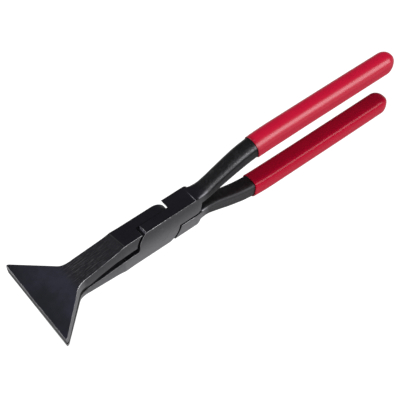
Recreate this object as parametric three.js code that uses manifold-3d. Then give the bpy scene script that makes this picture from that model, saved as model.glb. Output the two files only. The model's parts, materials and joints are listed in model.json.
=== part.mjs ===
// Sheet-metal seaming pliers: two forged halves that cross in a lap joint, a countersunk rivet
// ground flush with the cheeks, and a dipped vinyl grip on each handle.
//
// Both halves are the same forging. Each is modelled with its jaw above the jaw plane, its lap on
// the +Y side and its handle below, and the other half is the same shape turned half a turn about X.
// Millimetres. X runs along the tool from the jaw tips to the handle ends, Y is the rivet's axis,
// +Z is up, and the jaws meet on the plane Z = 0. While it is modelled, the rivet's axis is at X = 0.

import * as THREE from 'three';
import { mergeVertices } from 'three/addons/utils/BufferGeometryUtils.js';
import Module from 'manifold-3d';

const wasm = await Module();
wasm.setup();

// Overall sizes, measured from the rivet's axis.
const JAW_REACH = 79.2;
const UPPER_HANDLE_REACH = 184.6;
const LOWER_HANDLE_REACH = 186.4;

// Fan jaw: a plate that widens towards its tip.
const FAN_HALF_WIDTH = 29.25; // at the outline's height; the drafted sides spread below it
const FAN_OUTLINE_HEIGHT = 8;
const FAN_ROOT_X = -56.6;
const FAN_TIP_THICKNESS = 3.6;
const FAN_ROOT_THICKNESS = 6.1;
const FAN_DRAFT = 0.16; // sideways growth per millimetre of depth
const FAN_CORNER_LENGTH = 1.4; // rounding of the front corners along X, and across the tool
const FAN_CORNER_DEPTH = 2;
const FAN_FILLET_FRONT = 2; // the fillet between fan and shank reaches this far each way
const FAN_FILLET_REAR = 4.5;
const JAW_FACE_GAP = 0.15; // each working face stands this far off the jaw plane

// Shank, from the fan to the joint. Its back rises, and its face falls away from the jaw plane,
// through the points (X, Z).
const SHANK_ROOT_HALF_WIDTH = 7.65;
const SHANK_FILLET_HALF_WIDTH = 7.4; // where the fan's fillet ends
const SHANK_BACK = [[-50, 7.2], [-40, 8.7], [-31, 10.0]];
const SHANK_FACE = [[-42, 1.75], [-50, 0.85]];
const CREASE_X = -25.7; // where the sloping shank meets the flat top of the joint
const SHEET_GAP_HALF = 2.35; // half the gap between the shanks beside the joint
const SHEET_GAP_FRONT_X = -32;

// Lap joint.
const CHEEK_Y = 6.4; // half the thickness of the joint
const CHEEK_FRONT_X = -20.2; // the shank's tapering sides become level cheeks here
const JOINT_HALF_HEIGHT = 11.45;
const LAP_CLEARANCE = 0.1; // each lap stands this far off the middle plane
const LAP_FRONT_RADIUS = 15.2;
const LAP_FRONT_END_Z = 1.5; // the front arc stops here and runs out into the sheet gap
const LAP_FRONT_RUN_OUT = 2.2;
const SHOULDER_FRONT_RADIUS = 17.2;
const LAP_CORNER = 1.5; // rounding where the rear arc meets the top, and how full it is
const LAP_CORNER_FULLNESS = 0.6;
const LAP_EDGE_Z = 1.6; // the straight edge between lap and root, behind the rear arc

// Root, where the handle bar grows out of the joint. Its end is a blunt nose.
const ROOT_EDGE_Z = 3.2;
const ROOT_END_X = 29.5;
const ROOT_END_HALF_WIDTH = 5.5;
const ROOT_SIDE_END_X = 22.5; // the cheeks curve inwards from here
const ROOT_SIDE_ROUND = 4.5;
const ROOT_NOSE_Z = 4;
const ROOT_NOSE_SETBACK = 1.8; // the inner edge stops this far short of the nose
const ROOT_TOP_END_X = 25.4;
const ROOT_TOP_ROUND = 2.4;

// The arcs behind the rivet were dressed by hand, so the two halves differ a little.
const UPPER_JAW_ARCS = { lapRear: 12.1, shoulderRear: 14.3 };
const LOWER_JAW_ARCS = { lapRear: 12.9, shoulderRear: 14.7 };

// Rivet: a straight shank with a cone at each end, flush with the cheeks.
const RIVET_RADIUS = 4;
const RIVET_HEAD_RADIUS = 5.6;
const RIVET_HEAD_DEPTH = 2.2;
const RIVET_RIM = 0.1; // straight edge of each head, outside its cone
const RIVET_FLUSH = 0.05;
const RIVET_CLEARANCE = 0.08;
const ROUND_SEGMENTS = 40;

// Handle bar, from inside the root to the end under the grip. One row per station:
// distance from the rivet, height of the middle of the bar, half width (Y), half height.
const BAR_STATIONS = [
  [20, 7.3, 5.95, 4.0],
  [30, 7.1, 5.45, 4.2],
  [35, 8.0, 5.2, 4.6],
  [41, 10.0, 5.1, 5.1],
  [53, 14.15, 5.3, 5.5],
  [64, 17.15, 5.5, 5.8],
  [76, 18.65, 5.5, 5.95],
  [98, 19.05, 5.35, 5.75],
  [140, 19.15, 5.35, 5.8],
  [176, 19.05, 5.35, 5.8],
];
// How square the section is on its outer side, away from the jaw plane, and on its inner side.
const BAR_SQUARENESS = { outer: 3.4, inner: 3.8 };
const BAR_CURVED_PITCH = 4.5; // distance between rings along the bend, and along the straight
const BAR_STRAIGHT_PITCH = 13.5;
const BAR_STRAIGHT_X = 83;

// Dipped vinyl grip.
const UPPER_GRIP_START = 70.6; // the two handles were not dipped to the same depth
const LOWER_GRIP_START = 69.8;
const GRIP_WALL_AT_MOUTH = 0.75;
const GRIP_WALL = 1.1;
const GRIP_WALL_RISE = 30; // the wall thickens over this distance from the mouth
const GRIP_CLEARANCE = 0.12;
const GRIP_SQUARENESS = { outer: 2.75, inner: 3.2 };
const GRIP_END_SQUARENESS = 2.1;
const GRIP_DOME_LENGTH = 8.0;
const GRIP_DOME_END = 0.49 * Math.PI; // the dome stops just short of its pole, on a small flat
const GRIP_DOME_STEPS = 7;

const SECTION_POINTS = 20;
const PRISM_REACH = 40; // taller and wider than any part of the tool, for cutting prisms
const SIDE_OVERLAP = 0.5; // the plain side runs this far into the lap side, to join it
const HOLE_OVERSHOOT = 1;

const steelMaterial = () => new THREE.MeshStandardMaterial({
  color: 0x26262a, roughness: 0.45, metalness: 0.85,
});
const vinylMaterial = () => new THREE.MeshStandardMaterial({
  color: 0xb8102c, roughness: 0.28, metalness: 0,
});

// ---- solids -----------------------------------------------------------------------------------

function toSolid(geometry) {
  geometry.deleteAttribute('normal');
  geometry.deleteAttribute('uv');
  const merged = mergeVertices(geometry);
  return new wasm.Manifold(new wasm.Mesh({
    numProp: 3,
    vertProperties: new Float32Array(merged.attributes.position.array),
    triVerts: new Uint32Array(merged.index.array),
  }));
}

function toGeometry(solid) {
  const mesh = solid.getMesh();
  const geometry = new THREE.BufferGeometry();
  geometry.setAttribute('position', new THREE.BufferAttribute(mesh.vertProperties, 3));
  geometry.setIndex(new THREE.BufferAttribute(mesh.triVerts, 1));
  geometry.computeVertexNormals();
  return geometry;
}

// A side outline (X, Z) given thickness along Y, from yLow to yHigh.
function sidePrism(shape, yLow, yHigh) {
  const geometry = new THREE.ExtrudeGeometry(shape, {
    depth: yHigh - yLow, bevelEnabled: false, curveSegments: 6,
  });
  geometry.rotateX(Math.PI / 2);
  geometry.translate(0, yHigh, 0);
  return toSolid(geometry);
}

// A plan outline (X, Y) given height along Z, the same above and below the jaw plane. The outline
// is true at the outer height, and its sides spread by draft towards the jaw plane.
function planPrism(shape, outerHeight, draft) {
  const geometry = new THREE.ExtrudeGeometry(shape, {
    depth: JAW_FACE_GAP,
    bevelEnabled: true,
    bevelSegments: 1,
    bevelThickness: outerHeight,
    bevelSize: outerHeight * draft,
    curveSegments: 5,
  });
  geometry.translate(0, 0, -JAW_FACE_GAP / 2);
  return toSolid(geometry);
}

// A closed skin through rings of the same number of points, with flat ends.
function loft(rings) {
  const count = rings[0].length;
  const positions = rings.flat().flatMap((point) => [point.x, point.y, point.z]);
  const index = [];
  for (let ring = 0; ring < rings.length - 1; ring += 1) {
    for (let i = 0; i < count; i += 1) {
      const next = (i + 1) % count;
      const a = ring * count + i;
      const b = ring * count + next;
      index.push(a, b + count, b, a, a + count, b + count);
    }
  }
  const last = (rings.length - 1) * count;
  for (let i = 1; i < count - 1; i += 1) {
    index.push(0, i, i + 1);
    index.push(last, last + i + 1, last + i);
  }
  const geometry = new THREE.BufferGeometry();
  geometry.setAttribute('position', new THREE.Float32BufferAttribute(positions, 3));
  geometry.setIndex(index);
  return toSolid(geometry);
}

// ---- handle bar and grip ----------------------------------------------------------------------

// The stations as smooth curves of X: height, half width and half height at any distance.
const barCurve = new THREE.CatmullRomCurve3(
  BAR_STATIONS.map(([x, height]) => new THREE.Vector3(x, height, 0)), false, 'centripetal');
const barSizes = new THREE.CatmullRomCurve3(
  BAR_STATIONS.map(([x, , halfWidth, halfHeight]) => new THREE.Vector3(x, halfWidth, halfHeight)),
  false, 'centripetal');

// The parameter at which a curve that runs along X reaches a given X.
function parameterAt(curve, x) {
  let low = 0;
  let high = 1;
  for (let step = 0; step < 40; step += 1) {
    const middle = (low + high) / 2;
    if (curve.getPoint(middle).x < x) low = middle;
    else high = middle;
  }
  return (low + high) / 2;
}

// One ring around the bar at distance x, grown outwards and scaled in its own plane. Past the last
// station the bar runs on straight.
function barRing(x, growth, scale, squareness) {
  const lastX = BAR_STATIONS[BAR_STATIONS.length - 1][0];
  const inside = Math.min(x, lastX);
  const t = parameterAt(barCurve, inside);
  const middle = barCurve.getPoint(t);
  const along = barCurve.getTangent(t);
  middle.addScaledVector(along, (x - inside) / along.x);
  const sizes = barSizes.getPoint(parameterAt(barSizes, inside));
  const halfWidth = (sizes.y + growth) * scale;
  const halfHeight = (sizes.z + growth) * scale;
  const ring = [];
  for (let i = 0; i < SECTION_POINTS; i += 1) {
    const angle = (2 * Math.PI * (i + 0.5)) / SECTION_POINTS;
    const c = Math.cos(angle);
    const s = Math.sin(angle);
    const power = 2 / (s > 0 ? squareness.outer : squareness.inner);
    const side = halfWidth * Math.sign(c) * Math.abs(c) ** power;
    const rise = halfHeight * Math.sign(s) * Math.abs(s) ** power;
    // The bar's own upward direction leans with it; the handle is below, so heights are negative.
    ring.push(new THREE.Vector3(middle.x - along.y * rise, side, -(middle.y + along.x * rise)));
  }
  return ring;
}

// Where rings stand between two distances: the same places for every solid that follows the bar.
function ringPlaces(fromX, toX) {
  const places = [fromX];
  const lastX = BAR_STATIONS[BAR_STATIONS.length - 1][0];
  let x = BAR_STATIONS[0][0];
  while (x < lastX) {
    x += x < BAR_STRAIGHT_X ? BAR_CURVED_PITCH : BAR_STRAIGHT_PITCH;
    if (x > fromX + 1 && x < toX - 1) places.push(x);
  }
  return [...places, toX];
}

function barLoft(fromX, toX, growth) {
  return loft(ringPlaces(fromX, toX).map((x) => barRing(x, growth, 1, BAR_SQUARENESS)));
}

function gripWall(fromMouth) {
  const rise = Math.min(fromMouth / GRIP_WALL_RISE, 1);
  return GRIP_WALL_AT_MOUTH + (GRIP_WALL - GRIP_WALL_AT_MOUTH) * Math.sin((rise * Math.PI) / 2);
}

// The grip's section, from its squareness along the bar (share 0) to its end (share 1).
function gripSquareness(share) {
  const blend = (start) => start + (GRIP_END_SQUARENESS - start) * share;
  return { outer: blend(GRIP_SQUARENESS.outer), inner: blend(GRIP_SQUARENESS.inner) };
}

// The grip: a sleeve that follows the bar, then a dome over the bar's end.
function gripSolid(start, reach) {
  const domeStart = reach - GRIP_DOME_LENGTH;
  const rings = ringPlaces(start, domeStart).map(
    (x) => barRing(x, GRIP_CLEARANCE + gripWall(x - start), 1, gripSquareness(0)));
  for (let step = 1; step <= GRIP_DOME_STEPS; step += 1) {
    const share = step / GRIP_DOME_STEPS;
    const angle = GRIP_DOME_END * share;
    const x = domeStart + GRIP_DOME_LENGTH * Math.sin(angle);
    const growth = GRIP_CLEARANCE + GRIP_WALL;
    rings.push(barRing(x, growth, Math.cos(angle), gripSquareness(share)));
  }
  const barEnd = BAR_STATIONS[BAR_STATIONS.length - 1][0];
  const cavity = barLoft(start - 2, barEnd + GRIP_CLEARANCE, GRIP_CLEARANCE);
  return loft(rings).subtract(cavity);
}

// ---- forged half ------------------------------------------------------------------------------

const onCircle = (radius, z) => Math.sqrt(radius * radius - z * z);
const asPoints = (pairs) => pairs.map(([first, second]) => new THREE.Vector2(first, second));

// The jaw's outer line, from the fan's tip up to the crease.
function drawJawBack(shape) {
  shape.lineTo(-JAW_REACH, FAN_TIP_THICKNESS);
  shape.lineTo(FAN_ROOT_X, FAN_ROOT_THICKNESS);
  shape.splineThru(asPoints([...SHANK_BACK, [CREASE_X, JOINT_HALF_HEIGHT]]));
}

// The jaw's inner line, from beside the joint to the tip of the working face.
function drawJawFace(shape) {
  shape.lineTo(SHEET_GAP_FRONT_X, SHEET_GAP_HALF);
  shape.splineThru(asPoints([...SHANK_FACE, [FAN_ROOT_X, JAW_FACE_GAP]]));
  shape.lineTo(-JAW_REACH, JAW_FACE_GAP);
}

// Side outline of the half that carries the lap (+Y): jaw, lap and root in one.
function lapOutline(rearRadius) {
  const h = JOINT_HALF_HEIGHT;
  const front = LAP_FRONT_RADIUS;
  const cornerZ = h - LAP_CORNER;
  const topEndX = onCircle(rearRadius, h);
  const shape = new THREE.Shape();
  shape.moveTo(-JAW_REACH, JAW_FACE_GAP);
  drawJawBack(shape);
  shape.lineTo(topEndX - LAP_CORNER, h);
  shape.quadraticCurveTo(
    topEndX + LAP_CORNER_FULLNESS, h, onCircle(rearRadius, cornerZ), cornerZ);
  shape.absarc(
    0, 0, rearRadius, Math.asin(cornerZ / rearRadius), Math.asin(LAP_EDGE_Z / rearRadius), true);
  drawRootEnd(shape, LAP_EDGE_Z);
  shape.lineTo(-onCircle(front, h), -h);
  shape.absarc(
    0, 0, front, Math.asin(h / front) - Math.PI, Math.asin(LAP_FRONT_END_Z / front) - Math.PI, true);
  shape.quadraticCurveTo(-front, SHEET_GAP_HALF, -front - LAP_FRONT_RUN_OUT, SHEET_GAP_HALF);
  drawJawFace(shape);
  return shape;
}

// The root's end, from its inner edge round to the underside of the joint.
function drawRootEnd(shape, innerZ) {
  const h = JOINT_HALF_HEIGHT;
  const halfRound = ROOT_TOP_ROUND / 2;
  shape.lineTo(ROOT_END_X - ROOT_NOSE_SETBACK, innerZ);
  shape.lineTo(ROOT_END_X, -ROOT_NOSE_Z);
  shape.lineTo(ROOT_TOP_END_X + ROOT_TOP_ROUND, ROOT_TOP_ROUND - h);
  shape.quadraticCurveTo(ROOT_TOP_END_X + halfRound, -h, ROOT_TOP_END_X - halfRound, -h);
}

// Side outlines of the plain half (-Y): the jaw up to its shoulder, and the root behind the lap.
function shoulderOutline() {
  const shape = new THREE.Shape();
  const h = JOINT_HALF_HEIGHT;
  const r = SHOULDER_FRONT_RADIUS;
  shape.moveTo(-JAW_REACH, JAW_FACE_GAP);
  drawJawBack(shape);
  shape.lineTo(-onCircle(r, h), h);
  shape.absarc(0, 0, r, Math.PI - Math.asin(h / r), Math.PI - Math.asin(SHEET_GAP_HALF / r), false);
  drawJawFace(shape);
  return shape;
}

function rootOutline(rearRadius) {
  const shape = new THREE.Shape();
  const h = JOINT_HALF_HEIGHT;
  const r = rearRadius;
  shape.moveTo(onCircle(r, ROOT_EDGE_Z), -ROOT_EDGE_Z);
  drawRootEnd(shape, -ROOT_EDGE_Z);
  shape.lineTo(onCircle(r, h), -h);
  shape.absarc(0, 0, r, -Math.asin(h / r), -Math.asin(ROOT_EDGE_Z / r), false);
  return shape;
}

// Plan of the fan and shank. Beside the joint the drafted sides run out into the cheeks.
function fanPlan() {
  const slope = (FAN_HALF_WIDTH - SHANK_ROOT_HALF_WIDTH) / (JAW_REACH + FAN_ROOT_X);
  const edgeAt = (x) => SHANK_ROOT_HALF_WIDTH + (FAN_ROOT_X - x) * slope;
  const tipX = -JAW_REACH;
  const tipHalf = FAN_HALF_WIDTH;
  const cornerX = tipX + FAN_CORNER_LENGTH;
  const cornerHalf = tipHalf - FAN_CORNER_DEPTH;
  const filletX = FAN_ROOT_X - FAN_FILLET_FRONT;
  const shankX = FAN_ROOT_X + FAN_FILLET_REAR;
  const shankHalf = SHANK_FILLET_HALF_WIDTH;
  const endHalf = CHEEK_Y - FAN_DRAFT * FAN_OUTLINE_HEIGHT;
  const shape = new THREE.Shape();
  shape.moveTo(CHEEK_FRONT_X, -endHalf);
  shape.lineTo(shankX, -shankHalf);
  shape.quadraticCurveTo(FAN_ROOT_X, -SHANK_ROOT_HALF_WIDTH, filletX, -edgeAt(filletX));
  shape.lineTo(cornerX, -edgeAt(cornerX));
  shape.quadraticCurveTo(tipX, -tipHalf, tipX, -cornerHalf);
  shape.lineTo(tipX, cornerHalf);
  shape.quadraticCurveTo(tipX, tipHalf, cornerX, edgeAt(cornerX));
  shape.lineTo(filletX, edgeAt(filletX));
  shape.quadraticCurveTo(FAN_ROOT_X, SHANK_ROOT_HALF_WIDTH, shankX, shankHalf);
  shape.lineTo(CHEEK_FRONT_X, endHalf);
  return shape;
}

// Plan of the shank, joint and root: a straight taper, level cheeks and rounded rear corners.
function bodyPlan() {
  const frontX = FAN_ROOT_X + FAN_FILLET_REAR;
  const roundStartX = ROOT_SIDE_END_X;
  const roundMiddleX = ROOT_SIDE_END_X + ROOT_SIDE_ROUND;
  const shape = new THREE.Shape();
  shape.moveTo(frontX, -SHANK_ROOT_HALF_WIDTH);
  shape.lineTo(CHEEK_FRONT_X, -CHEEK_Y);
  shape.lineTo(roundStartX, -CHEEK_Y);
  shape.quadraticCurveTo(roundMiddleX, -CHEEK_Y, ROOT_END_X, -ROOT_END_HALF_WIDTH);
  shape.lineTo(ROOT_END_X, ROOT_END_HALF_WIDTH);
  shape.quadraticCurveTo(roundMiddleX, CHEEK_Y, roundStartX, CHEEK_Y);
  shape.lineTo(CHEEK_FRONT_X, CHEEK_Y);
  shape.lineTo(frontX, SHANK_ROOT_HALF_WIDTH);
  return shape;
}

// The rivet turned about the Y axis: radius against Y. Its hole is the same outline grown by the
// clearance, and runs on past the cheeks by overshoot.
function rivetSolid(growth, overshoot) {
  const rimY = CHEEK_Y - RIVET_FLUSH - RIVET_RIM;
  const endY = CHEEK_Y - RIVET_FLUSH + overshoot;
  const head = RIVET_HEAD_RADIUS + growth;
  const neck = RIVET_RADIUS + growth;
  const neckY = CHEEK_Y - RIVET_HEAD_DEPTH;
  const upperHalf = [[neck, neckY], [head, rimY], [head, endY], [0, endY]];
  const lowerHalf = upperHalf.map(([radius, y]) => [radius, -y]).reverse();
  return toSolid(new THREE.LatheGeometry(asPoints([...lowerHalf, ...upperHalf]), ROUND_SEGMENTS));
}

function forgedHalf({ lapRear, shoulderRear }) {
  const reach = PRISM_REACH;
  const overlap = LAP_CLEARANCE + SIDE_OVERLAP;
  const outline = sidePrism(lapOutline(lapRear), LAP_CLEARANCE, reach)
    .add(sidePrism(shoulderOutline(), -reach, overlap))
    .add(sidePrism(rootOutline(shoulderRear), -reach, overlap));
  const plan = planPrism(fanPlan(), FAN_OUTLINE_HEIGHT, FAN_DRAFT)
    .add(planPrism(bodyPlan(), PRISM_REACH, 0));
  const bar = barLoft(BAR_STATIONS[0][0], BAR_STATIONS[BAR_STATIONS.length - 1][0], 0);
  return outline.intersect(plan).add(bar).subtract(rivetSolid(RIVET_CLEARANCE, HOLE_OVERSHOOT));
}

// ---- assembly ---------------------------------------------------------------------------------

function part(name, solid, material, turned) {
  const mesh = new THREE.Mesh(toGeometry(solid), material);
  mesh.name = name;
  if (turned) mesh.rotation.x = Math.PI;
  return mesh;
}

const upperJawHalf = forgedHalf(UPPER_JAW_ARCS);
const lowerJawHalf = forgedHalf(LOWER_JAW_ARCS);
const group = new THREE.Group();
group.add(part('upper_jaw_half', upperJawHalf, steelMaterial(), false));
group.add(part('lower_jaw_half', lowerJawHalf, steelMaterial(), true));
group.add(part('pivot_rivet', rivetSolid(0, 0), steelMaterial(), false));
group.add(part('lower_grip', gripSolid(LOWER_GRIP_START, LOWER_HANDLE_REACH), vinylMaterial(), false));
group.add(part('upper_grip', gripSolid(UPPER_GRIP_START, UPPER_HANDLE_REACH), vinylMaterial(), true));

// The origin is the middle of the tool's length, on the jaw plane.
group.children.forEach((mesh) => {
  mesh.position.x = (JAW_REACH - LOWER_HANDLE_REACH) / 2;
});

export default group;
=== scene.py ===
"""Looks of the sheet-metal seaming pliers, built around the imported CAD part.

Everything is in metres in the CAD frame: X runs from the jaws to the handle ends, Y is the line of
the rivet and +Z is up. Each forged half is the CAD half with rounded, worn edges and a smoothly
lofted handle bar; the dipped grips and the rivet are lofted anew.
"""

import json
import math

import bmesh
import bpy
from mathutils import Matrix, Vector, noise


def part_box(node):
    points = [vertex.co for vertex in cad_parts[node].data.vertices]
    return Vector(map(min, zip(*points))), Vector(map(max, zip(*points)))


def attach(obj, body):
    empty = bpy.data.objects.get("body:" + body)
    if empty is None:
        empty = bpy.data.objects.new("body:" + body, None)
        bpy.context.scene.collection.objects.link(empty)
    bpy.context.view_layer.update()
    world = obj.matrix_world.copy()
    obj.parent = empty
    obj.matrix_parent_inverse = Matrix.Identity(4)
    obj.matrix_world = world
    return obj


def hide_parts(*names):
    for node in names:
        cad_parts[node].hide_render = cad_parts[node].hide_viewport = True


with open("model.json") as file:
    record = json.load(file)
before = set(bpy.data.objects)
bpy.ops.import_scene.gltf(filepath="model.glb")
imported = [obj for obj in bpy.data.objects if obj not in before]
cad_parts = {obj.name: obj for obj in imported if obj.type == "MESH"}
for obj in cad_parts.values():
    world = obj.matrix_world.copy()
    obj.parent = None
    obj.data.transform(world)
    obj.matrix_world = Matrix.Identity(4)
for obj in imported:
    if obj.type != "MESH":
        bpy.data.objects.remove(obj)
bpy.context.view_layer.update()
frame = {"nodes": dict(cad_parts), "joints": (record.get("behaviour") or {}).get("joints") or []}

MM = 0.001
PIVOT_X = frame["joints"][0]["pos_m"][0]

# ---- sizes, in millimetres behind the rivet, across it and above the jaw plane -------------------

# Handle bar, one row per station: distance, height of the middle, half width and half height.
# They are the CAD bar's, but a little wider and higher at the root, where it leaves the joint.
BAR_STATIONS = [
    (20, 7.40, 6.2, 3.96),
    (26, 7.25, 5.95, 4.1),
    (30, 7.3, 5.6, 4.2),
    (35, 8.05, 5.3, 4.6),
    (41, 10.0, 5.1, 5.1),
    (53, 14.15, 5.3, 5.5),
    (64, 17.15, 5.5, 5.8),
    (76, 18.65, 5.5, 5.95),
    (98, 19.05, 5.35, 5.75),
    (140, 19.15, 5.35, 5.8),
    (176, 19.05, 5.35, 5.8),
]
BAR_START = 21.0
BAR_END = 176.0
BAR_SQUARENESS = (6.0, 4.2)  # on the outer side of the section and on the inner side
BAR_CROWN = 2.3  # how far the outer side falls from its middle to its two ridges
BAR_CROWN_START = 22.0  # the root's top is flat, and the crown rises from here
BAR_CROWN_END = 36.0
BAR_POINTS = 72
SECTION_FINENESS = 8  # outline points worked out for each one that is kept
BAR_FINE_END = 78.0  # rings stand close together as far as this, and wider apart in the grip
BAR_FINE_STEP = 0.8
BAR_COARSE_STEP = 8.0
ROOT_TOP_END = 23.5  # behind this the root's top curves down into the bar
ROOT_CUT = 29.4  # the CAD half is cut here, and the lofted bar takes over
FORGING_START = 31.0  # from here the forged skin is uneven
FORGING_RISE = 8.0
FORGING_DEPTH = 0.04
FORGING_SCALE = 220.0  # waves per metre
FORGING_STRETCH = 0.6  # fewer waves along the bar than round it
FORGING_FRACTAL = (0.8, 2.0, 3)  # the noise's roughness, the ratio between its octaves, and octaves
FORGING_MIDDLE = 0.35  # the height of the noise that leaves the skin where it is
FORGING_FADE = 1.0  # the unevenness ends this far either side of the grip's mouth

UPPER_GRIP_START = 70.6
LOWER_GRIP_START = 69.8
UPPER_GRIP_SQUARENESS = (3.0, 3.4)  # the vinyl lies thicker and rounder over the upper bar
LOWER_GRIP_SQUARENESS = (4.2, 3.4)
UPPER_GRIP_ROUGHNESS = 0.30
LOWER_GRIP_ROUGHNESS = 0.17
GRIP_CROWN = 2.3
GRIP_END_SQUARENESS = 2.1
GRIP_POINTS = 72
GRIP_STEP = 1.5
GRIP_WALL_AT_MOUTH = 0.7
GRIP_WALL = 1.02
GRIP_WALL_RISE = 30.0  # the wall reaches its full thickness this far from the mouth
GRIP_CLEARANCE = 0.12
GRIP_INNER_CLEARANCE = 0.04
GRIP_MOUTH_LENGTH = 1.6  # the vinyl is darker where it thins out at the mouth
GRIP_RIM_STEPS = 6
GRIP_DOME_LENGTH = 7.97
GRIP_DOME_STEPS = 16
GRIP_DOME_ARC = 0.495 * math.pi  # short of a quarter turn, so the last ring isn't one point

FAN_ROOT = -56.6
JAW_FACE_END = FAN_ROOT + 2  # ahead of this, the corners at the jaw plane bound the jaw faces
JAW_FACE_HEIGHT = 0.3  # and they are within this of it
FILLET_END = -52.1
FILLET_STEP = 0.4  # height of the small step where the fillet's drafted side meets the shank's
CREASE = -25.7
CREASE_NEAR = 0.1  # a corner this close to the crease is part of it
CREASE_SKEW = -0.12  # how far the painted highlight line on the crease leans along X per unit of Y
JOINT_HALF_HEIGHT = 11.45
CHEEK = 6.4
LAP_NEAR = 0.5  # a corner this close to the middle plane is one where the laps meet
RIVET_RADIUS = 4.0
RIVET_HEAD = 5.66
RIVET_HOLE_MARGIN = 0.6  # the hole's rim is within this of the rivet's head
RIVET_HEAD_DEPTH = 2.2
RIVET_FLUSH = 0.01
RIVET_CORNER = 0.04
RIVET_POINTS = 96

EDGE_ROUND = 0.2  # worn corners of the forged halves
JAW_EDGE_ROUND = 0.32  # along the two jaw faces
EDGE_SEGMENTS = 3
EDGE_ANGLE = math.radians(28)  # flatter corners than this aren't rounded
FLAT_ANGLE = math.radians(1)  # faces that meet flatter than this are joined up
MERGE_DISTANCE = 0.04
NORMAL_WEIGHT = 80  # above 50, the large faces count for more in the shading

HALF_SHARP_ANGLE = 38  # degrees from which an edge is shaded as a corner
GRIP_SHARP_ANGLE = 60
RIVET_SHARP_ANGLE = 20


# ---- meshes --------------------------------------------------------------------------------------


def frame_x(distance):
    """From millimetres behind the rivet to metres along X in the CAD frame."""
    return PIVOT_X + distance * MM


def to_frame(point):
    """From millimetres with the rivet at x = 0 to metres in the CAD frame."""
    return Vector((frame_x(point[0]), point[1] * MM, point[2] * MM))


def mesh_from(bm, name):
    mesh = bpy.data.meshes.new(name)
    bm.to_mesh(mesh)
    bm.free()
    return mesh


def add_object(name, data):
    obj = bpy.data.objects.new(name, data)
    bpy.context.scene.collection.objects.link(obj)
    return obj


def shade_smooth(mesh, sharp_angle):
    for polygon in mesh.polygons:
        polygon.use_smooth = True
    mesh.set_sharp_from_angle(angle=math.radians(sharp_angle))


def steps(start, end, pitch):
    """Evenly spaced places from start to end, about pitch apart."""
    count = max(1, round((end - start) / pitch))
    return [start + (end - start) * i / count for i in range(count + 1)]


def smooth_step(value, start, end):
    t = min(max((value - start) / (end - start), 0.0), 1.0)
    return t * t * (3 - 2 * t)


def loft(rings, name):
    """A closed mesh through rings of the same number of points, closed at both ends."""
    bm = bmesh.new()
    rows = [[bm.verts.new(to_frame(p)) for p in ring] for ring in rings]
    count = len(rings[0])
    for a, b in zip(rows, rows[1:]):
        for i in range(count):
            j = (i + 1) % count
            bm.faces.new((a[i], a[j], b[j], b[i]))
    bm.faces.new(rows[0][::-1])
    bm.faces.new(rows[-1])
    bmesh.ops.recalc_face_normals(bm, faces=bm.faces)
    return mesh_from(bm, name)


# ---- handle bars and grips -----------------------------------------------------------------------


def station_value(x, column):
    """A smooth curve through one column of BAR_STATIONS, at distance x."""
    rows = BAR_STATIONS
    last = len(rows) - 1
    if x >= rows[last][0]:
        return rows[last][column]
    i = max(k for k in range(last) if rows[k][0] <= max(x, rows[0][0]))

    def slope(k):
        low, high = max(k - 1, 0), min(k + 1, last)
        return (rows[high][column] - rows[low][column]) / (rows[high][0] - rows[low][0])

    span = rows[i + 1][0] - rows[i][0]
    t = (x - rows[i][0]) / span
    return (
        (2 * t**3 - 3 * t**2 + 1) * rows[i][column]
        + (t**3 - 2 * t**2 + t) * span * slope(i)
        + (3 * t**2 - 2 * t**3) * rows[i + 1][column]
        + (t**3 - t**2) * span * slope(i + 1)
    )


def spread_evenly(outline, count):
    """count points at equal distances along a closed outline, from its first point."""
    closed = outline + outline[:1]
    along = [0.0]
    for a, b in zip(closed, closed[1:]):
        along.append(along[-1] + math.dist(a, b))
    points = []
    k = 0
    for i in range(count):
        target = along[-1] * i / count
        while along[k + 1] < target:
            k += 1
        t = (target - along[k]) / (along[k + 1] - along[k])
        points.append([p + (q - p) * t for p, q in zip(closed[k], closed[k + 1])])
    return points


def section(half_width, half_height, squareness, crown, count):
    """Outline of the handle: squared off, with an outer side that is crowned between two ridges."""
    outline = []
    for i in range(count * SECTION_FINENESS):
        angle = 2 * math.pi * i / (count * SECTION_FINENESS)
        c, s = math.cos(angle), math.sin(angle)
        power = 2 / (squareness[0] if s > 0 else squareness[1])
        across = math.copysign(abs(c) ** power, c)
        rise = math.copysign(abs(s) ** power, s)
        fall = crown * across**2 * max(rise, 0.0)
        outline.append((half_width * across, half_height * rise - fall))
    return spread_evenly(outline, count)


def bar_ring(x, growth, scale, shape, count, side):
    """Points round the bar at distance x. side is +1 for the handle above the jaw plane, -1 below."""
    squareness, crown = shape
    height = station_value(x, 1)
    half_width = (station_value(x, 2) + growth) * scale
    half_height = (station_value(x, 3) + growth) * scale
    lean = math.atan(station_value(x + 0.5, 1) - station_value(x - 0.5, 1))
    return [
        (x - math.sin(lean) * rise, across * side, (height + math.cos(lean) * rise) * side)
        for across, rise in section(half_width, half_height, squareness, crown * scale, count)
    ]


def blend_shape(a, b, share):
    """A section shape between two others: (squareness outside and inside, crown)."""
    squareness = [p + (q - p) * share for p, q in zip(a[0], b[0])]
    return squareness, a[1] + (b[1] - a[1]) * share


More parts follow.
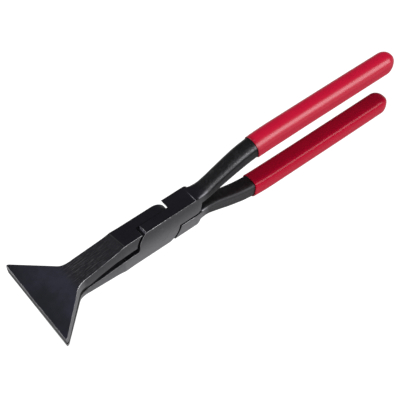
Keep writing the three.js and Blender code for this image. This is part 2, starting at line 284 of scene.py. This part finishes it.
def bar_mesh(name, side):
    """The handle bar, forged a little uneven between the joint and the grip."""
    places = steps(BAR_START, BAR_FINE_END, BAR_FINE_STEP)
    places += steps(BAR_FINE_END, BAR_END, BAR_COARSE_STEP)[1:]
    rings = []
    for x in places:
        crown = BAR_CROWN * smooth_step(x, BAR_CROWN_START, BAR_CROWN_END)
        rings.append(bar_ring(x, 0, 1, (BAR_SQUARENESS, crown), BAR_POINTS, side))
    mesh = loft(rings, name)
    normals = [v.normal.copy() for v in mesh.vertices]
    for vertex, normal in zip(mesh.vertices, normals):
        x = (vertex.co.x - PIVOT_X) / MM
        amount = smooth_step(x, FORGING_START, FORGING_START + FORGING_RISE)
        amount *= 1 - smooth_step(
            x, LOWER_GRIP_START - FORGING_FADE, LOWER_GRIP_START + FORGING_FADE)
        place = Vector((vertex.co.x * FORGING_STRETCH, vertex.co.y, vertex.co.z * side))
        depth = noise.fractal(place * FORGING_SCALE, *FORGING_FRACTAL) - FORGING_MIDDLE
        vertex.co += normal * (depth * amount * FORGING_DEPTH * MM)
    return mesh


def grip_wall(from_mouth):
    """Thickness of the vinyl at a distance from the mouth."""
    rise = min(from_mouth / GRIP_WALL_RISE, 1.0)
    return GRIP_WALL_AT_MOUTH + (GRIP_WALL - GRIP_WALL_AT_MOUTH) * math.sin(rise * math.pi / 2)


def grip_mesh(name, side, start, squareness, reach):
    """A dipped sleeve: up the inside to the mouth, round the rim, along the outside to the dome."""
    inner = GRIP_INNER_CLEARANCE
    outer = GRIP_CLEARANCE + GRIP_WALL_AT_MOUTH
    bar = (BAR_SQUARENESS, BAR_CROWN)
    sleeve = (squareness, GRIP_CROWN)
    end = ((GRIP_END_SQUARENESS, GRIP_END_SQUARENESS), 0.0)
    rings = []
    for x in steps(start + 1, BAR_END + inner, BAR_COARSE_STEP)[::-1]:
        rings.append(bar_ring(x, inner, 1, bar, GRIP_POINTS, side))
    half = (outer - inner) / 2
    for k in range(GRIP_RIM_STEPS + 1):
        angle = math.pi * (k / GRIP_RIM_STEPS - 0.5)
        shape = blend_shape(bar, sleeve, k / GRIP_RIM_STEPS)
        x = start + half * (1 - math.cos(angle))
        growth = inner + half + half * math.sin(angle)
        rings.append(bar_ring(x, growth, 1, shape, GRIP_POINTS, side))
    dome_start = reach - GRIP_DOME_LENGTH
    for x in steps(start + GRIP_STEP, dome_start, GRIP_STEP):
        growth = GRIP_CLEARANCE + grip_wall(x - start)
        rings.append(bar_ring(x, growth, 1, sleeve, GRIP_POINTS, side))
    for k in range(1, GRIP_DOME_STEPS + 1):
        share = k / GRIP_DOME_STEPS
        angle = GRIP_DOME_ARC * share
        shape = blend_shape(sleeve, end, share)
        x = dome_start + GRIP_DOME_LENGTH * math.sin(angle)
        growth = GRIP_CLEARANCE + GRIP_WALL
        rings.append(bar_ring(x, growth, math.cos(angle), shape, GRIP_POINTS, side))
    return loft(rings, name)


# ---- forged halves -------------------------------------------------------------------------------


def on_rivet_hole(edge):
    """True for the rim of the rivet's hole, which stays crisp round the flush rivet."""
    middle = (edge.verts[0].co + edge.verts[1].co) / 2
    return math.hypot(middle.x - PIVOT_X, middle.z) < (RIVET_HEAD + RIVET_HOLE_MARGIN) * MM


def on_root_end(edge):
    """True for the corners across the root's top, which melt into the handle bar."""
    return all(
        v.co.x > frame_x(ROOT_TOP_END) and abs(v.co.y) < CHEEK * MM for v in edge.verts)


def on_lap_plane(edge):
    """True for the corners hidden where the two laps meet."""
    return all(
        abs(v.co.y) < LAP_NEAR * MM and abs(v.co.x - PIVOT_X) < -CREASE * MM for v in edge.verts)


def on_jaw_face(edge):
    """True for the corners round the two jaw faces."""
    return all(
        abs(v.co.z) < JAW_FACE_HEIGHT * MM and v.co.x < frame_x(JAW_FACE_END) for v in edge.verts)


def edge_round(edge):
    """How far a corner of the forged half is worn back."""
    if on_rivet_hole(edge) or on_root_end(edge) or on_lap_plane(edge):
        return 0.0
    return JAW_EDGE_ROUND if on_jaw_face(edge) else EDGE_ROUND


def on_crease(edge):
    """True for the line across the back where the shank's slope meets the joint's flat top."""
    return all(
        abs(v.co.x - frame_x(CREASE)) < CREASE_NEAR * MM
        and abs(abs(v.co.z) - JOINT_HALF_HEIGHT * MM) < CREASE_NEAR * MM
        for v in edge.verts)


def plane_cut(bm, place, normal, clear_outer=False):
    """Cuts the mesh by a plane and gives the new edges."""
    cut = bmesh.ops.bisect_plane(
        bm, geom=bm.verts[:] + bm.edges[:] + bm.faces[:], dist=1e-7,
        plane_co=to_frame(place), plane_no=normal, clear_outer=clear_outer)
    return [e for e in cut["geom_cut"] if isinstance(e, bmesh.types.BMEdge)]


def body_mesh(node, name):
    """The CAD half without its bar: flat faces joined up, cut off behind the root, the small step
    at the end of the fan's fillet closed, and with a bevel weight on each edge that is to be
    rounded. Two cuts through the rivet's hole keep the joined-up faces free of holes."""
    bm = bmesh.new()
    bm.from_mesh(frame["nodes"][node].data)
    bmesh.ops.remove_doubles(bm, verts=bm.verts, dist=MERGE_DISTANCE * MM)
    for across in ((1, 0, 0), (0, 0, 1)):
        for edge in plane_cut(bm, (0, 0, 0), across):
            edge.seam = True
    bmesh.ops.dissolve_limit(
        bm, angle_limit=FLAT_ANGLE, verts=bm.verts, edges=bm.edges, delimit={"SEAM"})
    bmesh.ops.holes_fill(bm, edges=plane_cut(bm, (ROOT_CUT, 0, 0), (1, 0, 0), True))
    fillet_end = frame_x(FILLET_END)
    fillet_verts = [v for v in bm.verts if abs(v.co.x - fillet_end) < MERGE_DISTANCE * MM]
    bmesh.ops.remove_doubles(bm, verts=fillet_verts, dist=FILLET_STEP * MM)
    bmesh.ops.remove_doubles(bm, verts=bm.verts, dist=MERGE_DISTANCE * MM)
    bmesh.ops.recalc_face_normals(bm, faces=bm.faces)
    weight = bm.edges.layers.float.new("bevel_weight_edge")
    for edge in bm.edges:
        edge.seam = False
        if on_crease(edge):
            edge.smooth = False
        if len(edge.link_faces) == 2 and edge.calc_face_angle() > EDGE_ANGLE:
            edge[weight] = edge_round(edge) / JAW_EDGE_ROUND
    return mesh_from(bm, name)


def baked(obj, name):
    """The object's mesh with its modifiers applied."""
    bpy.context.view_layer.update()
    graph = bpy.context.evaluated_depsgraph_get()
    mesh = bpy.data.meshes.new_from_object(obj.evaluated_get(graph))
    mesh.name = name
    return mesh


def forged_half(name, node, bar_side, materials):
    """The forging as one mesh: the CAD half and its bar joined, then the worn corners."""
    body = add_object(name + "_body", body_mesh(node, name + "_body"))
    for material in materials:
        body.data.materials.append(material)
    bar = add_object(name + "_bar", bar_mesh(name + "_bar", bar_side))
    bar.data.materials.append(materials[0])
    union = body.modifiers.new("bar", "BOOLEAN")
    union.operation = "UNION"
    union.solver = "EXACT"
    union.object = bar
    bevel = body.modifiers.new("edges", "BEVEL")
    bevel.width = JAW_EDGE_ROUND * MM
    bevel.segments = EDGE_SEGMENTS
    bevel.limit_method = "WEIGHT"
    bevel.use_clamp_overlap = False
    bevel.loop_slide = False
    bevel.material = 1
    half = add_object(name, baked(body, name))
    bpy.data.objects.remove(body)
    bpy.data.objects.remove(bar)
    crease = [e.index for e in half.data.edges if e.use_edge_sharp]
    shade_smooth(half.data, HALF_SHARP_ANGLE)
    for index in crease:
        half.data.edges[index].use_edge_sharp = True
    normals = half.modifiers.new("normals", "WEIGHTED_NORMAL")
    normals.keep_sharp = True
    normals.weight = NORMAL_WEIGHT
    return half


def rivet_mesh(name):
    """A straight shank with a cone at each end, flush with the cheeks."""
    end = CHEEK - RIVET_FLUSH
    neck = CHEEK - RIVET_HEAD_DEPTH
    half = [
        (RIVET_RADIUS, neck), (RIVET_HEAD, end - 2 * RIVET_CORNER), (RIVET_HEAD, end - RIVET_CORNER),
        (RIVET_HEAD - RIVET_CORNER, end), (RIVET_HEAD / 2, end),
    ]
    profile = [(r, -y) for r, y in half[::-1]] + half
    rings = []
    for radius, y in profile:
        ring = []
        for i in range(RIVET_POINTS):
            angle = 2 * math.pi * i / RIVET_POINTS
            ring.append((radius * math.cos(angle), y, radius * math.sin(angle)))
        rings.append(ring)
    return loft(rings, name)


# ---- materials -----------------------------------------------------------------------------------

# Colours are linear. A pair is the two ends of a mottle.
JOINT_BLACKS = ((0.050, 0.047, 0.060, 1), (0.074, 0.072, 0.088, 1))
FAN_BLUES = ((0.108, 0.112, 0.136, 1), (0.152, 0.152, 0.222, 1))
FAN_TIP_GREY = (0.062, 0.063, 0.072, 1)
SHANK_GREY = (0.110, 0.107, 0.122, 1)
SHANK_STREAK_GREY = (0.32, 0.31, 0.33, 1)
BAR_BLACK = (0.062, 0.060, 0.064, 1)
BAR_PATCH_GREY = (0.15, 0.147, 0.154, 1)
# Painted shade on the bar's inner side, facing the other handle.
BAR_INNER_SHADE = (0.030, 0.029, 0.031, 1)
# Painted dark reflection in a band just below each ridge of the bar.
BAR_RIDGE_SHADE = (0.010, 0.0095, 0.011, 1)
# Sides: ground steel, from a darker end to a paler end that is a painted reflection of the floor.
SIDE_GREYS = ((0.13, 0.128, 0.138, 1), (0.37, 0.362, 0.38, 1))
# Fan edges painted paler, as if lit.
FAN_SIDE_GREY = (0.42, 0.41, 0.43, 1)
# Painted highlight on the fillet at the fan's root.
FILLET_HIGHLIGHT_GREY = (0.50, 0.49, 0.51, 1)
# Painted highlight line along the crease.
CREASE_HIGHLIGHT_GREY = (0.22, 0.21, 0.22, 1)
# Painted shadow in the gap between the jaws.
SEAM_SHADOW_BLACK = (0.002, 0.002, 0.002, 1)
# Bright worn steel on the corners, also used for the painted glint by the fan's root fillet.
WORN_STEEL_AND_GLINT = (0.70, 0.69, 0.71, 1)
VINYL_REDS = ((0.44, 0.0028, 0.026, 1), (0.48, 0.0045, 0.032, 1))
VINYL_MOUTH_RED = (0.20, 0.0015, 0.010, 1)

FAN_TIP = -80.0
FAN_TIP_FADED = -64.0  # the darker tip of the fan has faded out here
SEAM_START = -79.0
SEAM_REACH = (0.9, 2.1)  # how far from the jaw plane the gap's shadow goes, at tip and root
BAR_SKIN_START = 29.0  # the ground joint gives way to the forged skin of the bar
BAR_SKIN_FULL = 36.0
STREAK_SCALE = (20.0, 1400.0, 1400.0)  # long along X and fine across it
SIDE_PALING = (-60.0, 66.0)  # square millimetres: distance across times height, from the dark end to the pale end of the painted reflection on the sides


class Shader:
    """One material and short calls to build its node tree."""

    def __init__(self, name):
        self.material = bpy.data.materials.new(name)
        self.material.use_nodes = True
        self.tree = self.material.node_tree
        self.surface = self.tree.nodes["Principled BSDF"]
        coordinates = self.tree.nodes.new("ShaderNodeTexCoord")
        self.place = coordinates.outputs["Object"]
        self.normal = coordinates.outputs["Normal"]

    def connect(self, value, socket):
        if isinstance(value, bpy.types.NodeSocket):
            self.tree.links.new(value, socket)
        else:
            socket.default_value = value

    def math(self, operation, a, b=0.0, clamp=False):
        n = self.tree.nodes.new("ShaderNodeMath")
        n.operation = operation
        n.use_clamp = clamp
        self.connect(a, n.inputs[0])
        self.connect(b, n.inputs[1])
        return n.outputs[0]

    def product(self, first, *others):
        for other in others:
            first = self.math("MULTIPLY", first, other)
        return first

    def size(self, value):
        return self.math("ABSOLUTE", value)

    def axes(self, vector):
        n = self.tree.nodes.new("ShaderNodeSeparateXYZ")
        self.connect(vector, n.inputs[0])
        return n.outputs["X"], n.outputs["Y"], n.outputs["Z"]

    def ramp(self, value, start, end, low=0.0, high=1.0):
        """value from start..end to low..high, with smooth ends."""
        n = self.tree.nodes.new("ShaderNodeMapRange")
        n.interpolation_type = "SMOOTHSTEP"
        for socket, number in zip(n.inputs[1:5], (start, end, low, high)):
            socket.default_value = number
        self.connect(value, n.inputs[0])
        return n.outputs[0]

    def fade(self, value, start, end, high=1.0):
        """high up to start, falling to 0 at end."""
        return self.ramp(value, start, end, high, 0.0)

    def stretched(self, scale):
        n = self.tree.nodes.new("ShaderNodeMapping")
        n.inputs["Scale"].default_value = scale
        self.connect(self.place, n.inputs["Vector"])
        return n.outputs[0]

    def noise(self, scale, detail=2.0, roughness=0.5, place=None):
        n = self.tree.nodes.new("ShaderNodeTexNoise")
        n.inputs["Scale"].default_value = scale
        n.inputs["Detail"].default_value = detail
        n.inputs["Roughness"].default_value = roughness
        self.connect(place or self.place, n.inputs["Vector"])
        return n.outputs["Fac"]

    def mix(self, share, a, b):
        n = self.tree.nodes.new("ShaderNodeMix")
        n.data_type = "RGBA"
        self.connect(share, n.inputs[0])
        self.connect(a, n.inputs[6])
        self.connect(b, n.inputs[7])
        return n.outputs[2]

    def bump(self, height, distance, strength=1.0, base=None):
        n = self.tree.nodes.new("ShaderNodeBump")
        n.inputs["Strength"].default_value = strength
        n.inputs["Distance"].default_value = distance
        self.connect(height, n.inputs["Height"])
        if base is not None:
            self.connect(base, n.inputs["Normal"])
        return n.outputs[0]

    def set(self, **values):
        for name, value in values.items():
            self.connect(value, self.surface.inputs[name.replace("_", " ")])


class SteelZones:
    """Where a point of a forged half lies and which way it faces. Most are shares from 0 to 1."""

    def __init__(self, s):
        self.x, self.y, self.z = s.axes(s.place)
        facing_y, facing_z = s.axes(s.normal)[1:]
        self.off_jaw_plane = s.size(self.z)
        self.off_middle = s.size(self.y)
        self.facing_up = s.size(facing_z)
        self.facing_across = s.size(facing_y)
        self.facing_out = s.product(facing_z, s.math("SIGN", self.z))  # away from the jaw plane
        self.ground = s.ramp(self.facing_up, 0.75, 0.95)  # the flat faces above and below

        self.fan = s.fade(self.x, frame_x(FAN_ROOT - 3), frame_x(FAN_ROOT + 3))
        self.shank = s.product(
            s.ramp(self.x, frame_x(FAN_ROOT - 5), frame_x(FAN_ROOT + 4)),
            s.fade(self.x, frame_x(CREASE - 0.4), frame_x(CREASE + 0.4)))
        self.bar = s.ramp(self.x, frame_x(BAR_SKIN_START), frame_x(BAR_SKIN_FULL))
        inwards = s.fade(s.product(facing_z, self.z), -4 * MM, 4 * MM)
        self.bar_inside = s.product(self.bar, inwards)

        # The sides are the two cheeks and the edges of the fan.
        cheek = s.product(
            s.ramp(self.facing_across, 0.4, 0.8), s.ramp(self.off_middle, 2.0 * MM, 3.0 * MM))
        self.side = s.math("MAXIMUM", cheek, s.product(self.fan, s.fade(self.facing_up, 0.15, 0.5)))
        # Where the painted highlight on the fan's root fillet goes.
        off_fillet = s.size(s.math("SUBTRACT", self.x, frame_x(FAN_ROOT + 0.5)))
        self.fillet = s.fade(off_fillet, 1.5 * MM, 5.0 * MM)

        # Grinding streaks on the shank, and worn patches on the bar.
        self.streaks = s.noise(1.0, 3.0, 0.7, place=s.stretched(STREAK_SCALE))
        fading = s.ramp(self.x, frame_x(FAN_ROOT + 12), frame_x(CREASE - 3), 1.0, 0.25)
        self.streak = s.product(self.shank, self.ground, s.ramp(self.streaks, 0.44, 0.70), fading)
        self.patch = s.product(self.bar, s.ramp(s.noise(260.0, 4.0, 0.65), 0.5, 0.66))


def oxide_colour(s, at):
    """Black joint, bluish fan with a darker tip, streaky ground shank and patchy forged bar."""
    joint = s.mix(s.noise(90.0, 3.0, 0.6), *JOINT_BLACKS)
    fan = s.mix(s.ramp(s.noise(42.0, 4.0, 0.6), 0.36, 0.62), *FAN_BLUES)
    near_tip = s.fade(at.x, frame_x(FAN_TIP), frame_x(FAN_TIP_FADED), 0.45)
    fan = s.mix(near_tip, fan, FAN_TIP_GREY)
    colour = s.mix(at.fan, joint, fan)
    colour = s.mix(s.product(at.shank, 0.75), colour, SHANK_GREY)
    colour = s.mix(s.product(at.streak, 0.8), colour, SHANK_STREAK_GREY)
    colour = s.mix(at.bar, colour, BAR_BLACK)
    return s.mix(s.product(at.patch, 0.5), colour, BAR_PATCH_GREY)


def with_pale_sides(s, at, colour):
    """Cheeks and fan edges in their ground-steel grey, with a painted reflection: paler below on the
    near side, and above on the far side. The fan's edges are painted paler still, and a painted
    highlight lies on the fillet at the fan's root.
    """
    # Share of the pale grey: a painted reflection.
    lightening = s.ramp(s.product(at.y, at.z), SIDE_PALING[0] * MM**2, SIDE_PALING[1] * MM**2)
    side_colour = s.mix(lightening, *SIDE_GREYS)
    # Painted light on the fan's edges.
    fan_side = s.product(at.fan, s.ramp(at.facing_across, 0.3, 0.6, 0.0, 0.8))
    side_colour = s.mix(fan_side, side_colour, FAN_SIDE_GREY)
    share = s.product(at.side, s.math("SUBTRACT", 0.95, s.product(at.bar, 0.6)))
    share = s.math("SUBTRACT", share, s.product(at.shank, at.side, 0.25))
    colour = s.mix(share, colour, side_colour)
    # Painted highlight on the fillet's sides.
    return s.mix(s.product(at.fillet, at.side, 0.3), colour, FILLET_HIGHLIGHT_GREY)


def with_crease_highlight_and_seam_shadow(s, at, colour):
    """A painted highlight line across the crease, and a painted shadow in the gap between the jaws
    along the fan.
    """
    # Painted highlight along the crease.
    skewed = s.math("SUBTRACT", at.x, s.product(at.y, CREASE_SKEW))
    off_crease = s.size(s.math("SUBTRACT", skewed, frame_x(CREASE + 0.2)))
    crease = s.product(s.fade(off_crease, 0.15 * MM, 0.5 * MM, 0.55), at.ground)
    colour = s.mix(crease, colour, CREASE_HIGHLIGHT_GREY)
    # Painted shadow in the gap between the jaws, wider towards the root.
    reach = s.ramp(
        at.x, frame_x(SEAM_START), frame_x(FAN_ROOT + 4), SEAM_REACH[0] * MM, SEAM_REACH[1] * MM)
    off_seam = s.math("DIVIDE", at.off_jaw_plane, reach)
    seam = s.product(
        s.fade(off_seam, 0.6, 1.0), s.fade(at.x, frame_x(FAN_ROOT + 3), frame_x(FAN_ROOT + 7)))
    return s.mix(s.product(seam, 0.92), colour, SEAM_SHADOW_BLACK)


def with_worn_edges(s, at, colour):
    """Corners rubbed bright in stretches and specks, but not at the jaw plane and hardly where the
    laps meet. The corners by the fan's root fillet get a painted glint as well."""
    stretches = s.ramp(s.noise(95.0, 2.0, 0.5), 0.40, 0.62, 0.10, 0.55)
    specks = s.ramp(s.noise(900.0, 2.0, 0.6), 0.56, 0.68, 0.0, 0.45)
    # The fillet adds a painted glint to the wear.
    lightening = s.math("ADD", s.math("ADD", stretches, specks), at.fillet)
    clear_of_jaw_plane = s.ramp(at.off_jaw_plane, 1.5 * MM, 3.0 * MM)
    lightening = s.math("MULTIPLY", clear_of_jaw_plane, lightening, clamp=True)
    at_lap = s.product(
        s.fade(at.off_middle, 1.0 * MM, 3.0 * MM, 0.85),
        s.ramp(at.x, frame_x(CREASE), frame_x(CREASE + 3)))
    lightening = s.product(lightening, s.math("SUBTRACT", 1.0, at_lap))
    return s.mix(lightening, colour, WORN_STEEL_AND_GLINT)


def with_painted_bar_shade(s, at, colour):
    """Painted shade on the bar: darker on its inner side, which faces the other handle, and a painted
    dark reflection in a band just below each ridge.
    """
    # Painted shade on the inner side.
    colour = s.mix(s.product(at.bar_inside, 0.6), colour, BAR_INNER_SHADE)
    # Painted dark reflection just below each ridge.
    below_ridge = s.product(
        s.ramp(at.facing_out, -0.1, 0.15), s.fade(at.facing_out, 0.3, 0.5), at.bar)
    return s.mix(s.product(below_ridge, 0.7), colour, BAR_RIDGE_SHADE)


def steel_material(name, worn):
    """Black oxide over forged and ground steel, with painted reflections, highlights and shade on it.
    Where worn, it is rubbed bright in specks.
    """
    s = Shader(name)
    at = SteelZones(s)
    colour = with_crease_highlight_and_seam_shadow(s, at, with_pale_sides(s, at, oxide_colour(s, at)))
    if worn:
        colour = with_worn_edges(s, at, colour)
    colour = with_painted_bar_shade(s, at, colour)

    roughness = s.ramp(s.noise(500.0, 2.0), 0.3, 0.7, 0.34, 0.46)
    roughness = s.math("SUBTRACT", roughness, s.product(at.patch, 0.06))
    roughness = s.math("ADD", roughness, s.product(at.bar_inside, 0.15))
    forging = s.product(s.noise(900.0, 4.0, 0.6), at.bar)
    grain = s.noise(2200.0, 3.0, 0.6)
    normal = s.bump(forging, 0.25 * MM, 0.8)
    normal = s.bump(grain, 0.03 * MM, 0.35, normal)
    normal = s.bump(s.product(at.streaks, at.shank), 0.08 * MM, 0.45, normal)
    s.set(Base_Color=colour, Roughness=roughness, Metallic=0.9, Normal=normal)
    return s.material


def vinyl_material(name, start, smoothest):
    """Dipped vinyl with a faintly uneven skin. smoothest is its lowest roughness."""
    s = Shader(name)
    x, _, z = s.axes(s.place)
    facing_out = s.product(s.axes(s.normal)[2], s.math("SIGN", z))
    shine = s.ramp(facing_out, 0.05, 0.4, 0.2, 0.75)  # the sides are duller than the outer side
    colour = s.mix(s.noise(70.0, 3.0, 0.55), *VINYL_REDS)
    at_mouth = s.fade(x, frame_x(start), frame_x(start + GRIP_MOUTH_LENGTH), 0.45)
    colour = s.mix(at_mouth, colour, VINYL_MOUTH_RED)
    roughness = s.ramp(s.noise(45.0, 2.0, 0.5), 0.35, 0.7, smoothest, smoothest + 0.04)
    normal = s.bump(s.noise(70.0, 2.0), 0.03 * MM, 0.2)
    s.set(Base_Color=colour, Roughness=roughness, IOR=1.5, Specular_IOR_Level=shine, Normal=normal)
    return s.material


steel = steel_material("black_oxide_steel", False)
worn_steel = steel_material("worn_edge_steel", True)

# ---- assembly ------------------------------------------------------------------------------------

# Each row: the piece's name, the CAD node it stands for, the body it rides, the side of its bar.
# A grip's row goes on with where its mouth is, how squared off it is and how rough its skin is.
HALVES = (
    ("upper_half_steel", "upper_jaw_half", "upper_jaw_body", -1),
    ("lower_half_steel", "lower_jaw_half", "lower_jaw_body", 1),
)
GRIPS = (
    ("lower_grip_vinyl", "lower_grip", "upper_jaw_body", -1,
     LOWER_GRIP_START, LOWER_GRIP_SQUARENESS, LOWER_GRIP_ROUGHNESS),
    ("upper_grip_vinyl", "upper_grip", "lower_jaw_body", 1,
     UPPER_GRIP_START, UPPER_GRIP_SQUARENESS, UPPER_GRIP_ROUGHNESS),
)

for name, node, body, side in HALVES:
    half = forged_half(name, node, side, (steel, worn_steel))
    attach(half, body)
    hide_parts(node)

for name, node, body, side, start, squareness, roughness in GRIPS:
    reach = (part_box(node)[1].x - PIVOT_X) / MM
    grip = add_object(name, grip_mesh(name, side, start, squareness, reach))
    shade_smooth(grip.data, GRIP_SHARP_ANGLE)
    grip.data.materials.append(vinyl_material(name, start, roughness))
    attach(grip, body)
    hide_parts(node)

rivet = add_object("flush_rivet", rivet_mesh("flush_rivet"))
shade_smooth(rivet.data, RIVET_SHARP_ANGLE)
rivet.data.materials.append(steel)
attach(rivet, "upper_jaw_body")
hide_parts("pivot_rivet")

# ---- studio --------------------------------------------------------------------------------------

FLOOR_Z = -52 * MM  # clear below the lower jaw when the tool is wide open
FLOOR_RADIUS = 6.0
FLOOR_POINTS = 96
FLOOR_GREY = (0.16, 0.16, 0.16, 1)
FLOOR_GLOW = 1.0  # the floor glows white, so no shadow shows on it
FLOOR_GLOW_REFLECTED = 0.2  # but the tool sees less of it
WHITE = (1, 1, 1, 1)
ROOM_COLOUR = (0.9, 0.95, 1.0, 1)
ROOM_STRENGTH = 0.06
BEYOND_COLOUR = (0.97, 0.97, 0.97, 1)
OVERHEAD_RISE = 0.95  # a light nearer than this to straight above has its width along X

floor_shader = Shader("floor_white")
floor_ray = floor_shader.tree.nodes.new("ShaderNodeLightPath")
floor_shader.set(
    Base_Color=FLOOR_GREY, Roughness=0.9, Specular_IOR_Level=0.0, Emission_Color=WHITE,
    Emission_Strength=floor_shader.ramp(
        floor_ray.outputs["Is Glossy Ray"], 0, 1, FLOOR_GLOW, FLOOR_GLOW_REFLECTED))
bm = bmesh.new()
bmesh.ops.create_circle(bm, cap_ends=True, segments=FLOOR_POINTS, radius=FLOOR_RADIUS)
bmesh.ops.translate(bm, verts=bm.verts, vec=(0, 0, FLOOR_Z))
floor = add_object("floor", mesh_from(bm, "floor"))
floor.data.materials.append(floor_shader.material)

# The room is dim to everything it lights, and pale where it is seen beyond the floor.
world = bpy.data.worlds.new("studio")
bpy.context.scene.world = world
world.use_nodes = True
tree = world.node_tree
room = tree.nodes["Background"]
room.inputs["Color"].default_value = ROOM_COLOUR
room.inputs["Strength"].default_value = ROOM_STRENGTH
beyond = tree.nodes.new("ShaderNodeBackground")
beyond.inputs["Color"].default_value = BEYOND_COLOUR
ray = tree.nodes.new("ShaderNodeLightPath")
mixed = tree.nodes.new("ShaderNodeMixShader")
tree.links.new(ray.outputs["Is Camera Ray"], mixed.inputs["Fac"])
tree.links.new(room.outputs["Background"], mixed.inputs[1])
tree.links.new(beyond.outputs["Background"], mixed.inputs[2])
tree.links.new(mixed.outputs["Shader"], tree.nodes["World Output"].inputs["Surface"])


def stand(obj, right, up, back, place):
    """Puts a light or the camera at a place. It looks the other way from back."""
    turn = Matrix((right, up, back)).transposed().to_4x4()
    obj.matrix_world = Matrix.Translation(place) @ turn


def softbox(name, direction, distance, width, height, radiance):
    """A rectangular light that looks at the origin from a direction. Width runs level."""
    light = bpy.data.lights.new(name, "AREA")
    light.shape = "RECTANGLE"
    light.size = width
    light.size_y = height
    light.energy = radiance * math.pi * width * height
    obj = add_object(name, light)
    towards = Vector(direction).normalized()
    overhead = abs(towards.z) > OVERHEAD_RISE
    level = Vector((1, 0, 0)) if overhead else Vector((0, 0, 1)).cross(towards).normalized()
    stand(obj, level, towards.cross(level), towards, towards * distance)
    return obj


softbox("key_strip", (0.37, -0.80, 0.47), 1.3, 1.4, 0.62, 4.4)
overhead_strip = softbox("overhead_strip", (-0.13, 0.0, 1.3), 1.3, 0.6, 0.26, 27.0)
overhead_strip.visible_glossy = False  # it lights the tool from above without a highlight
softbox("far_fill", (-0.75, 0.65, 0.4), 1.6, 1.2, 0.4, 3.0)

# ---- camera --------------------------------------------------------------------------------------

CAMERA_AZIMUTH = math.radians(-37.96)
CAMERA_ELEVATION = math.radians(52.79)
CAMERA_ROLL = math.radians(-0.96)
CAMERA_DISTANCE = 0.5119
CAMERA_AIM = to_frame((28.00, -5.43, 8.43))
CAMERA_LENS = 81.74
CAMERA_SENSOR = 36
CAMERA_NEAR = 0.01
CAMERA_FAR = 30

camera_data = bpy.data.cameras.new("camera")
camera_data.lens = CAMERA_LENS
camera_data.sensor_width = CAMERA_SENSOR
camera_data.clip_start = CAMERA_NEAR
camera_data.clip_end = CAMERA_FAR
camera = add_object("camera", camera_data)
back = Vector((
    math.sin(CAMERA_AZIMUTH) * math.cos(CAMERA_ELEVATION),
    -math.cos(CAMERA_AZIMUTH) * math.cos(CAMERA_ELEVATION),
    math.sin(CAMERA_ELEVATION),
))
right = Vector((math.cos(CAMERA_AZIMUTH), math.sin(CAMERA_AZIMUTH), 0))
up = back.cross(right)
rolled_right = right * math.cos(CAMERA_ROLL) + up * math.sin(CAMERA_ROLL)
rolled_up = up * math.cos(CAMERA_ROLL) - right * math.sin(CAMERA_ROLL)
stand(camera, rolled_right, rolled_up, back, CAMERA_AIM + back * CAMERA_DISTANCE)
bpy.context.scene.camera = camera

bpy.context.scene.view_settings.view_transform = "Standard"
